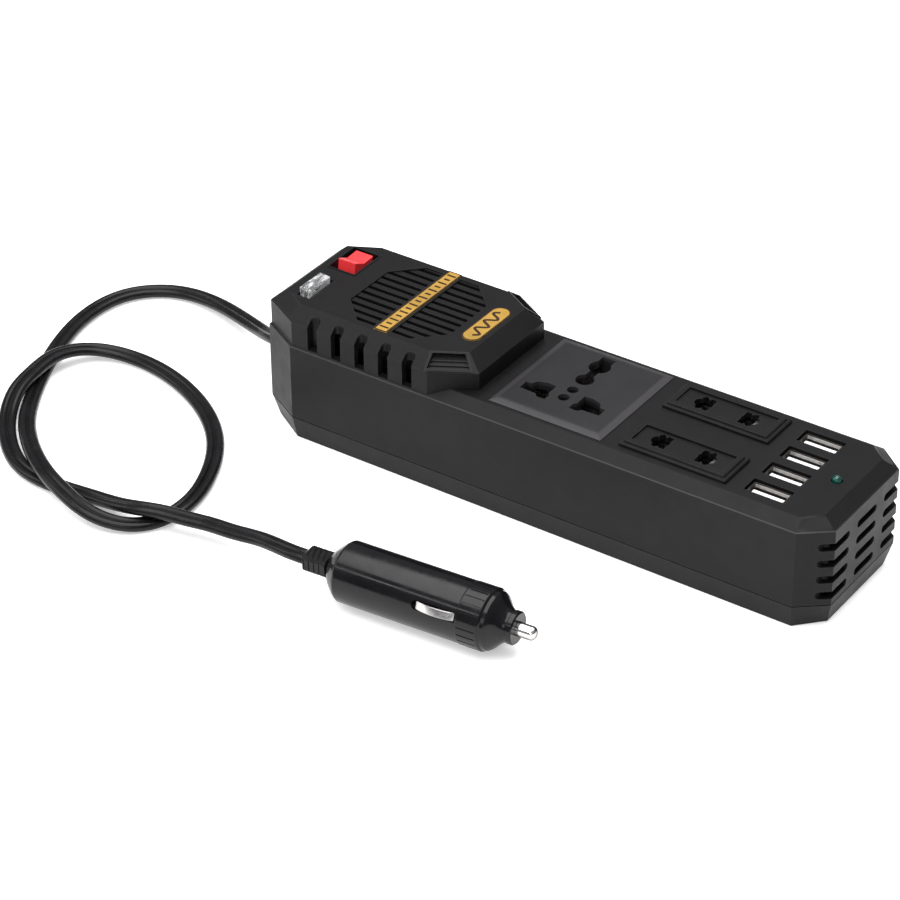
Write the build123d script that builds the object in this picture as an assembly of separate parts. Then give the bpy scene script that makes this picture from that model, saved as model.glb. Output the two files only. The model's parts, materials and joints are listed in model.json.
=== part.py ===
from build123d import *
from math import hypot
import os

# Mains power inverter for a vehicle: long eight-sided case, fan cowl, outlets, USB ports and 12 V plug.
# Millimetres.  The origin is the centre of the case's bottom face, +Z is up, +X runs towards the vented
# end and -X towards the fan cowl and the cable.

# ---------------------------------------------------------------- case
CASE_LENGTH = 216.0
CASE_WIDTH = 56.3
HALF_LENGTH = CASE_LENGTH / 2
HALF_WIDTH = CASE_WIDTH / 2
FOOT_BEVEL_Z = 8.1              # top of the bevel that runs round the foot of the case
FOOT_GROOVE = 0.35              # width and depth of the line above it
SEAM_Z = 36.0                   # parting line between the two shells
DECK_Z = 39.0                   # flat top that carries the outlets
COWL_BEVEL_Z = 45.4             # where the cowl's walls turn into its bevel
COWL_Z = 49.9                   # top of the fan cowl
WALL = 2.2
REAR_CORNER = (14.5, 8.0)       # corner cut at the cable end, along X and along Y
FRONT_CORNER = (9.6, 7.85)      # corner cut at the vented end
FOOT_INSET = (2.0, 1.45)        # how far the foot stands in, at the ends and at the sides
FOOT_REAR_CORNER = (13.3, 8.2)
FOOT_FRONT_CORNER = (8.1, 8.6)
LEDGE = 0.6                     # the cowl stands this far in from the lower shell

# ---------------------------------------------------------------- deck and cowl
DECK_INSET = 4.4
DECK_FRONT_X = HALF_LENGTH - 5.25
DECK_REAR_CORNER = (10.0, 6.0)
DECK_FRONT_CORNER = (6.0, 5.9)
COWL_FRONT_X = -23.8
COWL_FRONT_CORNER = (14.7, 8.4)
COWL_TOP_REAR_X = -102.3
COWL_TOP_FRONT_X = -29.6
COWL_TOP_HALF_WIDTH = 22.5
COWL_TOP_REAR_CORNER = (10.5, 5.5)
COWL_TOP_FRONT_CORNER = (11.5, 6.5)
ROOF_Z = COWL_Z - WALL          # underside of the cowl's roof
CEILING_Z = DECK_Z - WALL       # underside of the deck

# ---------------------------------------------------------------- fan and its grille
FAN_X = -61.0
FAN_SIZE = 40.0
FAN_DEPTH = 10.0
FAN_BORE_R = 18.7
FAN_SCREW_SPAN = 16.0
GRILLE_HALF = 20.0
GRILLE_CORNER = 9.5
GRILLE_SINK = 0.5               # the slats lie this far below the cowl's top
GRILLE_SLOTS = 11
GRILLE_PITCH = 3.71
GRILLE_SLOT_WIDTH = 1.7
STRIP_X = (-63.9, -58.6)
STRIP_Y = (-21.6, 22.4)
STRIP_MARGIN = 0.7              # width of the bridge left on each side of the strip
BADGE_X = -34.6
BADGE_Y = 1.1
BADGE_LENGTH = 23.2
BADGE_WIDTH = 7.0

# ---------------------------------------------------------------- openings in the walls
SIDE_SLOT_FIRST_X = -84.5
SIDE_SLOT_PITCH = 9.5
SIDE_SLOT_COUNT = 5
SIDE_SLOT_WIDTH = 3.9
SIDE_SLOT_TOP_Z = 49.5
SIDE_SLOT_END_Y = 24.3           # how near the middle the slots reach
SIDE_SLOT_ROUND = 1.3
VENT_ROWS_Z = (12.0, 18.0, 24.0, 30.1)
VENT_HEIGHT = 2.8
VENT_ENDS_X = 103.8             # how far the outer vents run back round the corners

# ---------------------------------------------------------------- rocker switch and blade fuse
SWITCH_X = -94.2
SWITCH_Y = 9.9
SWITCH_SIZE = (11.6, 15.7)
SWITCH_WELL = (10.4, 14.7)
ROCKER_SIZE = (7.0, 10.4)
ROCKER_PIVOT_Z = 46.0
ROCKER_TILT = 11.0              # half of the rocker's throw
FUSE_X = -95.0
FUSE_Y = -11.2
FUSE_BODY = (4.6, 11.6, 6.6)
FUSE_TOP_Z = 52.4
FUSE_GRIP_HEIGHT = 4.6
HOLDER_SIZE = (7.0, 15.4)

# ---------------------------------------------------------------- outlets and USB ports
PLATE_X = (-18.0, 24.4)
PLATE_HALF_WIDTH = 22.4
PLATE_RISE = 1.2
PLATE_BEVEL = 3.0
SOCKET_FLOOR_Z = 22.5
SOCKET_X = 2.0                  # axis of symmetry of the universal outlet
LINE_PINS = (10.1, -8.9)        # live and neutral chambers: distance from the axis, and Y
EARTH_Y = 12.8                  # round part of the earth opening
LONG_EARTH_Y = 3.7              # the second round part, nearer the middle
ROUND_PINS_Y = (-3.5, -8.9)
OUTLET_X = 49.6
OUTLET_Y = 13.2
OUTLET_SIZE = (39.2, 15.7)
OUTLET_RISE = 2.0
PIN_SPACING = 19.0              # round pins
BLADE_SPACING = 13.2            # flat pins
FACE_SINK = 0.8                 # the face lies this far below its frame
USB_X = 82.15
USB_PITCH = 10.9
USB_SHELL = (13.1, 5.75)
USB_SHELL_SINK = 0.8            # the shells and tongues end this far below the deck
USB_TONGUE_SINK = 1.8
USB_WINDOW_GAP = 0.65
USB_BOARD_Z = 22.4
USB_POST_X = 91.9
USB_POSTS_Y = (-18.6, 18.6)
LED_X = 96.8
LED_R = 1.6

# ---------------------------------------------------------------- inside
BOARD_Z = 8.0
BOARD_THICKNESS = 1.6
BOARD_TOP_Z = BOARD_Z + BOARD_THICKNESS
BOARD_X = (-81.0, 64.0)
BOARD_HALF_WIDTH = 22.0
CASE_SCREWS_XY = [(x, y) for x, half in ((-86.5, 21.0), (99.0, 15.0)) for y in (-half, half)]
BOARD_SCREWS_XY = [(x, y) for x in (-77.0, 60.0) for y in (-18.5, 18.5)]
POST_SPLIT_Z = 29.0
SCREW_HEAD_Z = 18.0

# ---------------------------------------------------------------- cable and 12 V plug
CORD_R = 1.6                    # each half of the twin cord
CORD_CENTRES = 1.5              # distance of each half from the cord's middle
CABLE_EXIT_Z = 15.0
PLUG_AT = (-28.5, -91.8, 10.35)  # rear end of the plug's barrel, on its axis
PLUG_YAW = 4.5
PLUG_ROLL = -22.0
PLUG_R = 10.2
BARREL_END = 48.0
RING_END = 56.0                 # where the cap's ribbed ring meets its bell
CAP_END = 65.0
TIP_R = 2.35
TIP_END = 71.5
PLUG_LOCATION = Location(PLUG_AT, (0, 0, PLUG_YAW)) * Rot(PLUG_ROLL, 0, 0)


# ================================================================ helpers
def cut_rectangle(low_x, high_x, half_width, low_cut, high_cut):
    """Corners of a rectangle, symmetric about X, with a cut corner of its own at each end."""
    return [
        (low_x + low_cut[0], -half_width),
        (high_x - high_cut[0], -half_width),
        (high_x, -half_width + high_cut[1]),
        (high_x, half_width - high_cut[1]),
        (high_x - high_cut[0], half_width),
        (low_x + low_cut[0], half_width),
        (low_x, half_width - low_cut[1]),
        (low_x, -half_width + low_cut[1]),
    ]


def flat(points, z):
    return Face(Wire.make_polygon([Vector(x, y, z) for x, y in points], close=True))


def prism(points, low, high):
    return extrude(flat(points, low), amount=high - low, dir=(0, 0, 1))


def frustum(low_points, low, high_points, high):
    return loft([flat(low_points, low), flat(high_points, high)], ruled=True)


def box(x, y, z):
    """A box from its limits along each axis."""
    centre = [(limits[0] + limits[1]) / 2 for limits in (x, y, z)]
    return Pos(*centre) * Box(x[1] - x[0], y[1] - y[0], z[1] - z[0])


def block(centre_xy, size_xy, z):
    """A box centred on a point of the plan, between two heights."""
    x, y = centre_xy
    return Pos(x, y, (z[0] + z[1]) / 2) * Box(size_xy[0], size_xy[1], z[1] - z[0])


def round_block(centre_xy, size_xy, z, radius):
    """The same, with its upright edges rounded."""
    outline = RectangleRounded(size_xy[0], size_xy[1], radius)
    return Pos(centre_xy[0], centre_xy[1], z[0]) * extrude(outline, amount=z[1] - z[0])


def post(centre_xy, radius, z):
    """An upright cylinder between two heights."""
    return Pos(centre_xy[0], centre_xy[1], (z[0] + z[1]) / 2) * Cylinder(radius, z[1] - z[0])


def group(shapes):
    """Separate solids kept side by side in one node."""
    solids = []
    for shape in shapes:
        solids.extend(shape.solids())
    return Compound(children=solids)


def turned(profile_points):
    """A body of revolution about +X from (distance along the axis, radius) corners."""
    outline = Wire.make_polygon([Vector(s, r, 0) for s, r in profile_points], close=True)
    return revolve(Face(outline), axis=Axis.X, revolution_arc=360)


def wire_lead(points, radius):
    """A round lead through the points given."""
    path = Spline(*[Vector(*point) for point in points])
    section = Plane(origin=path @ 0, z_dir=path % 0) * Circle(radius)
    return sweep(section, path=path)


# ================================================================ case outlines
def waist_outline(inset=0.0):
    return cut_rectangle(
        -HALF_LENGTH + inset,
        HALF_LENGTH - inset,
        HALF_WIDTH - inset,
        shrink_corner(REAR_CORNER, inset),
        shrink_corner(FRONT_CORNER, inset),
    )


def shrink_corner(corner, inset):
    """The cut corner's legs after the outline moves in by inset on every side."""
    length = hypot(*corner)
    scale = 1 - inset * (corner[0] + corner[1] - length) / (corner[0] * corner[1])
    return corner[0] * scale, corner[1] * scale


def foot_outline(inset=0.0):
    return cut_rectangle(
        -HALF_LENGTH + FOOT_INSET[0] + inset,
        HALF_LENGTH - FOOT_INSET[0] - inset,
        HALF_WIDTH - FOOT_INSET[1] - inset,
        shrink_corner(FOOT_REAR_CORNER, inset),
        shrink_corner(FOOT_FRONT_CORNER, inset),
    )


def deck_outline(inset=0.0):
    return cut_rectangle(
        -HALF_LENGTH + DECK_INSET + inset,
        DECK_FRONT_X - inset,
        HALF_WIDTH - DECK_INSET - inset,
        shrink_corner(DECK_REAR_CORNER, inset),
        shrink_corner(DECK_FRONT_CORNER, inset),
    )


def cowl_outline(inset=0.0):
    return cut_rectangle(
        -HALF_LENGTH + LEDGE + inset,
        COWL_FRONT_X - inset,
        HALF_WIDTH - LEDGE - inset,
        shrink_corner(REAR_CORNER, inset),
        shrink_corner(COWL_FRONT_CORNER, inset),
    )


def cowl_top_outline(inset=0.0):
    return cut_rectangle(
        COWL_TOP_REAR_X + inset,
        COWL_TOP_FRONT_X - inset,
        COWL_TOP_HALF_WIDTH - inset,
        shrink_corner(COWL_TOP_REAR_CORNER, inset),
        shrink_corner(COWL_TOP_FRONT_CORNER, inset),
    )


# ================================================================ lower shell
def vent_cutters():
    """Three columns of round-ended vents; the outer ones run round the cut corners."""
    for z in VENT_ROWS_Z:
        behind = Pos(VENT_ENDS_X + 15.0, z) * SlotOverall(30.0, VENT_HEIGHT)
        behind = extrude(Plane.XZ * behind, amount=HALF_WIDTH + 5.0, both=True)
        for middle_y, width in ((0.0, 12.4), (-21.0, 20.0), (21.0, 20.0)):
            front = Plane.YZ.offset(VENT_ENDS_X - 2.0) * Pos(middle_y, z) * SlotOverall(width, VENT_HEIGHT)
            yield extrude(front, amount=16.0) & behind


def lower_shell():
    shell = frustum(foot_outline(), 0, waist_outline(), FOOT_BEVEL_Z)
    shell += prism(waist_outline(), FOOT_BEVEL_Z, SEAM_Z)
    cavity = frustum(foot_outline(WALL), WALL, waist_outline(WALL), FOOT_BEVEL_Z + 1.0)
    cavity += prism(waist_outline(WALL), FOOT_BEVEL_Z + 1.0, SEAM_Z + 1.0)
    shell -= cavity
    for xy in CASE_SCREWS_XY:
        shell += post(xy, 4.3, (WALL / 2, POST_SPLIT_Z))
    for xy in BOARD_SCREWS_XY:
        shell += post(xy, 3.2, (WALL / 2, BOARD_Z))
    for xy in CASE_SCREWS_XY:
        shell -= post(xy, 3.1, (-1, SCREW_HEAD_Z))
        shell -= post(xy, 1.6, (0, POST_SPLIT_Z + 1))
    for xy in BOARD_SCREWS_XY:
        shell -= post(xy, 1.1, (WALL + 0.6, BOARD_Z + 1))
    for cutter in vent_cutters():
        shell -= cutter
    groove = prism(waist_outline(-1.0), FOOT_BEVEL_Z, FOOT_BEVEL_Z + FOOT_GROOVE)
    shell -= groove - prism(waist_outline(FOOT_GROOVE), FOOT_BEVEL_Z, FOOT_BEVEL_Z + FOOT_GROOVE)
    cable_hole = Pos(-HALF_LENGTH, 0, CABLE_EXIT_Z) * Rot(0, 90, 0) * Cylinder(5.0, 12.0)
    return shell - cable_hole


# ================================================================ upper shell
def grille_octagon(low, high):
    """The grille's outline between two heights, without the bridge under the strip."""
    corner = (GRILLE_CORNER, GRILLE_CORNER)
    outline = cut_rectangle(-GRILLE_HALF, GRILLE_HALF, GRILLE_HALF, corner, corner)
    octagon = prism([(FAN_X + x, y) for x, y in outline], low, high)
    bridge = (STRIP_X[0] - STRIP_MARGIN, STRIP_X[1] + STRIP_MARGIN)
    return octagon - box(bridge, (-HALF_WIDTH, HALF_WIDTH), (low - 1, high + 1))


def grille_slots():
    """Slots along X whose ends follow the octagon and stop at the strip's bridge."""
    height = (ROOF_Z - 1, COWL_Z + 1)
    octagon = grille_octagon(*height)
    for index in range(GRILLE_SLOTS):
        y = (index - (GRILLE_SLOTS - 1) / 2) * GRILLE_PITCH
        yield block((FAN_X, y), (2 * GRILLE_HALF + 2, GRILLE_SLOT_WIDTH), height) & octagon


def side_slots():
    """Upright slots in both cowl walls that run up into the bevel."""
    for index in range(SIDE_SLOT_COUNT):
        x = SIDE_SLOT_FIRST_X + index * SIDE_SLOT_PITCH
        for side in (-1, 1):
            depth = HALF_WIDTH + 1 - SIDE_SLOT_END_Y
            middle = (x, side * (SIDE_SLOT_END_Y + depth / 2))
            height = (SEAM_Z + 0.7, SIDE_SLOT_TOP_Z)
            yield round_block(middle, (SIDE_SLOT_WIDTH, depth), height, SIDE_SLOT_ROUND)


def corner_panel(side):
    """Where the ribbed panel sits: the plane of the bevel over a front corner of the cowl."""
    low_a = Vector(COWL_FRONT_X - COWL_FRONT_CORNER[0], side * (HALF_WIDTH - LEDGE), COWL_BEVEL_Z)
    low_b = Vector(COWL_FRONT_X, side * (HALF_WIDTH - LEDGE - COWL_FRONT_CORNER[1]), COWL_BEVEL_Z)
    top_a = Vector(COWL_TOP_FRONT_X - COWL_TOP_FRONT_CORNER[0], side * COWL_TOP_HALF_WIDTH, COWL_Z)
    top_b = Vector(
        COWL_TOP_FRONT_X, side * (COWL_TOP_HALF_WIDTH - COWL_TOP_FRONT_CORNER[1]), COWL_Z
    )
    low = (low_a + low_b) * 0.5
    top = (top_a + top_b) * 0.5
    along = (low_b - low_a).normalized()
    up = (top - low).normalized()
    outward = along.cross(up) if side < 0 else up.cross(along)
    centre = (low + top) * 0.5 - along * 0.8
    return Plane(origin=centre, x_dir=along if side < 0 else along * -1, z_dir=outward)


def panel_outline(side, low_half, high_half, low, high, depth):
    """A trapezoid in the panel's plane, sunk by a depth, as a face."""
    corners = [(-low_half, low), (low_half, low), (high_half, high), (-high_half, high)]
    outline = Wire.make_polygon([Vector(x, y, -depth) for x, y in corners], close=True)
    return corner_panel(side) * Face(outline)


def corner_panel_rim(side):
    """The low raised frame round a corner panel."""
    return extrude(panel_outline(side, 7.9, 6.1, -3.4, 3.4, 0.6), amount=1.05)


def corner_panel_cutter(side):
    """The pocket inside the frame: its floor falls away towards the top and keeps two fine ribs."""
    pocket = extrude(panel_outline(side, 7.0, 5.3, -2.6, 2.8, 1.8), amount=2.8)
    ramp = corner_panel(side) * Pos(0, -1.6, -2.25) * Rot(-14, 0, 0) * Box(16, 8.0, 2.0)
    pocket -= ramp
    for index in range(2):
        rib = Pos(0, -0.9 + index * 1.7, -1.05 - index * 0.42) * Box(16, 0.35, 0.4)
        pocket -= corner_panel(side) * rib
    return pocket


def upper_shell():
    shell = frustum(waist_outline(), SEAM_Z, deck_outline(), DECK_Z)
    shell += prism(cowl_outline(), SEAM_Z, COWL_BEVEL_Z)
    shell += frustum(cowl_outline(), COWL_BEVEL_Z, cowl_top_outline(), COWL_Z)
    for side in (-1, 1):
        shell += corner_panel_rim(side)
    shell -= prism(deck_outline(1.6), SEAM_Z - 1, CEILING_Z)
    shell -= prism(cowl_outline(WALL), SEAM_Z - 1, COWL_BEVEL_Z - 1.0)
    shell -= frustum(cowl_outline(WALL), COWL_BEVEL_Z - 1.0, cowl_top_outline(1.6), ROOF_Z)
    for cutter in side_slots():
        shell -= cutter
    lip = prism(waist_outline(WALL + 0.1), SEAM_Z - 2.4, SEAM_Z + 0.4)
    lip -= prism(waist_outline(WALL + 1.4), SEAM_Z - 3, SEAM_Z + 1)
    shell += lip
    for xy in CASE_SCREWS_XY:
        roof = ROOF_Z if xy[0] < COWL_FRONT_X else CEILING_Z
        shell += post(xy, 3.6, (POST_SPLIT_Z, roof + 0.5))
        shell -= post(xy, 1.25, (POST_SPLIT_Z - 1, CEILING_Z))
    for xy in fan_screw_points():
        shell += post(xy, 1.6, (ROOF_Z - FAN_DEPTH, ROOF_Z + 0.5))
        shell -= post(xy, 0.8, (ROOF_Z - FAN_DEPTH - 1, ROOF_Z - 3))
    for y in USB_POSTS_Y:
        shell += post((USB_POST_X, y), 2.4, (USB_BOARD_Z + BOARD_THICKNESS, CEILING_Z + 0.5))
        shell -= post((USB_POST_X, y), 1.1, (USB_BOARD_Z, CEILING_Z - 2))
    shell -= grille_octagon(COWL_Z - GRILLE_SINK, COWL_Z + 1)
    for cutter in grille_slots():
        shell -= cutter
    shell -= box(STRIP_X, STRIP_Y, (COWL_Z - 0.6, COWL_Z + 1))
    shell -= badge_outline(0.0, COWL_Z - 0.6, COWL_Z + 1)
    shell -= block((SWITCH_X, SWITCH_Y), (SWITCH_SIZE[0] + 0.1, SWITCH_SIZE[1] + 0.1), (40, 52))
    shell -= block((FUSE_X, FUSE_Y), (HOLDER_SIZE[0] + 0.1, HOLDER_SIZE[1] + 0.1), (40, 52))
    shell -= box((PLATE_X[0] + 3, PLATE_X[1] - 3), (-19.5, 19.5), (30, 42))
    for side in (-1, 1):
        shell -= block((OUTLET_X, side * OUTLET_Y), (35.2, 11.7), (30, 42))
        shell -= corner_panel_cutter(side)
    usb_window = [size + 2 * USB_WINDOW_GAP for size in USB_SHELL]
    for y in usb_centres():
        shell -= block((USB_X, y), usb_window, (30, 42))
    return shell - post((LED_X, 0), 1.95, (30, 42))


def badge_outline(inset, low, high):
    radius = BADGE_WIDTH / 2 - inset
    straight = BADGE_LENGTH - BADGE_WIDTH
    badge = block((BADGE_X, BADGE_Y), (2 * radius, straight), (low, high))
    for end in (-1, 1):
        badge += post((BADGE_X, BADGE_Y + end * straight / 2), radius, (low, high))
    return badge


def accent_strip():
    return box(
        (STRIP_X[0] + 0.05, STRIP_X[1] - 0.05),
        (STRIP_Y[0] + 0.05, STRIP_Y[1] - 0.05),
        (COWL_Z - 0.6, COWL_Z + 0.25),
    )


def rating_badge():
    return badge_outline(0.05, COWL_Z - 0.6, COWL_Z + 0.3)


# ================================================================ fan
def fan_screw_points():
    for x in (-FAN_SCREW_SPAN, FAN_SCREW_SPAN):
        for y in (-FAN_SCREW_SPAN, FAN_SCREW_SPAN):
            yield FAN_X + x, y


FAN_LOW_Z = ROOF_Z - FAN_DEPTH


def fan_frame():
    """Square frame with a round duct, four struts and the bearing tube."""
    frame = round_block((FAN_X, 0), (FAN_SIZE, FAN_SIZE), (FAN_LOW_Z, ROOF_Z), 3.0)
    frame -= post((FAN_X, 0), FAN_BORE_R, (FAN_LOW_Z - 1, ROOF_Z + 1))
    for angle in (45, 135):
        frame += Pos(FAN_X, 0, FAN_LOW_Z + 0.6) * Rot(0, 0, angle) * Box(2 * FAN_BORE_R + 1, 2.4, 1.2)
    frame += post((FAN_X, 0), 8.2, (FAN_LOW_Z, FAN_LOW_Z + 1.4))
    frame += post((FAN_X, 0), 2.4, (FAN_LOW_Z, FAN_LOW_Z + 6.6))
    frame -= post((FAN_X, 0), 1.05, (FAN_LOW_Z + 0.6, FAN_LOW_Z + 8))
    for xy in fan_screw_points():
        frame -= post(xy, 1.7, (FAN_LOW_Z - 1, ROOF_Z + 1))
    return frame


def fan_motor():
    """The stator: a laminated ring with four coil poles, pressed on the bearing tube."""
    low, high = FAN_LOW_Z + 1.6, FAN_LOW_Z + 6.2
    motor = post((FAN_X, 0), 3.6, (low, high))
    for angle in (0, 90):
        motor += Pos(FAN_X, 0, (low + high) / 2) * Rot(0, 0, angle) * Box(12.4, 3.4, high - low)
    return motor - post((FAN_X, 0), 2.4, (low - 1, high + 1))


def fan_rotor():
    """Cup-shaped hub with seven pitched blades and its shaft."""
    low, high = FAN_LOW_Z + 1.9, ROOF_Z - 0.9
    ring = post((FAN_X, 0), 17.9, (low, high)) - post((FAN_X, 0), 8.0, (low - 1, high + 1))
    rotor = post((FAN_X, 0), 8.4, (low, high))
    for index in range(7):
        blade = Pos(12.6, 0, 0) * Rot(38, 0, 0) * Box(12.0, 12.0, 1.0)
        placed = Pos(FAN_X, 0, (low + high) / 2) * Rot(0, 0, index * 360 / 7) * blade
        rotor += placed & ring
    rotor -= post((FAN_X, 0), 7.2, (low - 1, high - 1.0))
    return rotor + post((FAN_X, 0), 1.0, (FAN_LOW_Z + 0.8, high - 0.5))


def fan_screws():
    for xy in fan_screw_points():
        screw = post(xy, 2.5, (FAN_LOW_Z - 1.4, FAN_LOW_Z))
        screw -= cross_recess(xy, FAN_LOW_Z - 1.4, 0.7)
        yield screw + post(xy, 0.8, (FAN_LOW_Z, FAN_LOW_Z + 6.0))


def cross_recess(xy, z, depth):
    """A cross-shaped driver recess, open towards -Z."""
    recess = block(xy, (2.2, 0.6), (z - 0.1, z + depth))
    return recess + block(xy, (0.6, 2.2), (z - 0.1, z + depth))


# ================================================================ switch
def switch_housing():
    """Snap-in housing: a thin collar in the roof and a wider box below it."""
    housing = round_block((SWITCH_X, SWITCH_Y), SWITCH_SIZE, (ROOF_Z - 0.2, COWL_Z + 0.25), 0.6)
    lower = round_block((SWITCH_X, SWITCH_Y), (13.0, 15.0), (33.0, ROOF_Z), 0.8)
    housing += lower & prism(cowl_top_outline(1.7), 30.0, ROOF_Z)
    housing -= block((SWITCH_X, SWITCH_Y), SWITCH_WELL, (36.0, COWL_Z + 1))
    axle = Pos(SWITCH_X, SWITCH_Y, ROCKER_PIVOT_Z) * Rot(0, 90, 0) * Cylinder(1.25, 12.0)
    housing -= axle
    for y in (SWITCH_Y - 4.5, SWITCH_Y + 4.5):
        housing -= block((SWITCH_X, y), (4.8, 0.8), (32.0, 37.0))
    return housing


def switch_rocker():
    """Red rocker with a hollowed top, tipped so that its near end stands up."""
    half = ROCKER_SIZE[1] / 2
    profile = [
        (-half, 5.3),
        (0, 4.0),
        (half, 5.3),
        (half - 0.3, -1.0),
        (2.6, -4.2),
        (-2.6, -4.2),
        (0.3 - half, -1.0),
    ]
    side = Wire.make_polygon([Vector(-ROCKER_SIZE[0] / 2, y, z) for y, z in profile], close=True)
    body = extrude(Face(side), amount=ROCKER_SIZE[0], dir=(1, 0, 0))
    body += Rot(0, 90, 0) * Cylinder(1.2, 11.8)
    return Pos(SWITCH_X, SWITCH_Y, ROCKER_PIVOT_Z) * Rot(-ROCKER_TILT, 0, 0) * body


def switch_terminals():
    for y in (SWITCH_Y - 4.5, SWITCH_Y + 4.5):
        yield block((SWITCH_X, y), (4.7, 0.7), (26.0, 36.6))


# ================================================================ blade fuse
def fuse_holder():
    holder = block((FUSE_X, FUSE_Y), HOLDER_SIZE, (ROOF_Z - 0.2, COWL_Z))
    holder += block((FUSE_X, FUSE_Y + 0.9), (8.0, 12.6), (33.0, ROOF_Z))
    holder -= block((FUSE_X, FUSE_Y), (FUSE_BODY[0] + 0.5, FUSE_BODY[1] + 2.2), (45.6, COWL_Z + 1))
    for y in (FUSE_Y - 4.0, FUSE_Y + 4.0):
        holder -= block((FUSE_X, y), (3.4, 3.6), (30.0, 46.0))
    return holder


def fuse_clips():
    """Two folded clips that grip the fuse's blades."""
    for y in (FUSE_Y - 4.0, FUSE_Y + 4.0):
        clip = block((FUSE_X, y), (3.0, 3.2), (29.0, 45.0))
        yield clip - block((FUSE_X, y), (1.0, 4.0), (36.0, 46.0))


def fuse_body():
    """Clear housing of the fuse: a wide grip over a narrower waist."""
    x, y, height = FUSE_BODY
    low = FUSE_TOP_Z - height
    grip_low = FUSE_TOP_Z - FUSE_GRIP_HEIGHT
    body = round_block((FUSE_X, FUSE_Y), (x, y), (grip_low, FUSE_TOP_Z), 0.8)
    body += round_block((FUSE_X, FUSE_Y), (x - 0.6, y - 1.0), (low, grip_low), 0.6)
    body = chamfer(body.faces().sort_by(Axis.Z)[-1].edges(), 0.5)
    window = block((FUSE_X, FUSE_Y), (1.6, 8.4), (low - 1, FUSE_TOP_Z - 1.4))
    for end in (-1, 1):
        window += block((FUSE_X, FUSE_Y + end * 4.0), (1.6, 3.0), (low - 1, FUSE_TOP_Z - 0.9))
    return body - window


def fuse_element():
    """Two blades joined by the thin bridge that melts."""
    low = FUSE_TOP_Z - FUSE_BODY[2]
    height = (low - 7.6, FUSE_TOP_Z - 1.3)
    element = block((FUSE_X, FUSE_Y - 4.0), (0.75, 2.7), height)
    element += block((FUSE_X, FUSE_Y + 4.0), (0.75, 2.7), height)
    path = Spline(
        Vector(FUSE_X, FUSE_Y - 3.2, FUSE_TOP_Z - 5.0),
        Vector(FUSE_X, FUSE_Y - 1.1, FUSE_TOP_Z - 3.0),
        Vector(FUSE_X, FUSE_Y + 1.1, FUSE_TOP_Z - 5.6),
        Vector(FUSE_X, FUSE_Y + 3.2, FUSE_TOP_Z - 3.6),
    )
    bridge = sweep(Plane(origin=path @ 0, z_dir=path % 0) * Circle(0.36), path=path)
    return element + bridge


# ================================================================ universal outlet
def line_aperture(side, low, high):
    """Opening for round, flat and slanting live or neutral pins, on one side of the axis."""
    corners = [
        (5.4, -4.7),
        (8.6, -4.5),
        (12.0, -5.6),
        (13.0, -7.7),
        (15.1, -7.7),
        (15.1, -11.7),
        (8.8, -11.9),
        (7.7, -13.2),
        (4.6, -13.2),
        (4.6, -10.1),
        (5.4, -9.6),
    ]
    return prism([(SOCKET_X + side * x, y) for x, y in corners], low, high)


def earth_aperture(low, high):
    """Two round openings joined by a neck, with a square end for tall flat pins."""
    opening = post((SOCKET_X, EARTH_Y), 3.7, (low, high))
    opening += block((SOCKET_X, EARTH_Y + 3.6), (5.0, 4.6), (low, high))
    opening += post((SOCKET_X, LONG_EARTH_Y), 3.15, (low, high))
    return opening + block((SOCKET_X, (EARTH_Y + LONG_EARTH_Y) / 2), (3.0, 6.0), (low, high))


def line_pins():
    """Middles of the live and neutral chambers."""
    return [(SOCKET_X + side * LINE_PINS[0], LINE_PINS[1]) for side in (-1, 1)]


def universal_socket():
    """Face plate with a bevelled border over a closed housing."""
    middle_x = (PLATE_X[0] + PLATE_X[1]) / 2
    half = (PLATE_X[1] - PLATE_X[0]) / 2
    no_cut = (0.01, 0.01)
    outer = cut_rectangle(PLATE_X[0], PLATE_X[1], PLATE_HALF_WIDTH, no_cut, no_cut)
    inner = cut_rectangle(
        PLATE_X[0] + PLATE_BEVEL, PLATE_X[1] - PLATE_BEVEL, PLATE_HALF_WIDTH - PLATE_BEVEL, no_cut, no_cut
    )
    plate = prism(outer, DECK_Z, DECK_Z + 0.25)
    plate += frustum(outer, DECK_Z + 0.25, inner, DECK_Z + PLATE_RISE)
    body = block((middle_x, 0), (2 * half - 6.4, 38.6), (SOCKET_FLOOR_Z, DECK_Z + 0.1))
    plate += body
    for side in (-1, 1):
        plate -= line_aperture(side, DECK_Z - 4, DECK_Z + 2)
    plate -= earth_aperture(DECK_Z - 4, DECK_Z + 2)
    for centre in line_pins():
        plate -= block(centre, (12.0, 11.0), (SOCKET_FLOOR_Z - 1, DECK_Z - 1.6))
    plate -= block((SOCKET_X, 9.6), (7.4, 18.6), (SOCKET_FLOOR_Z - 1, DECK_Z - 1.6))
    for pin_y in ROUND_PINS_Y:
        plate -= post((SOCKET_X, pin_y), 1.95, (DECK_Z - 8, DECK_Z + 2))
    return plate


def contact_clip(centre_xy, gap, width, z):
    """Two upright spring leaves, one on each side of a gap along Y, joined by a floor."""
    clip = block(centre_xy, (width, gap + 1.2), z)
    return clip - block(centre_xy, (width + 1, gap), (z[0] + 0.8, z[1] + 1))


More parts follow.
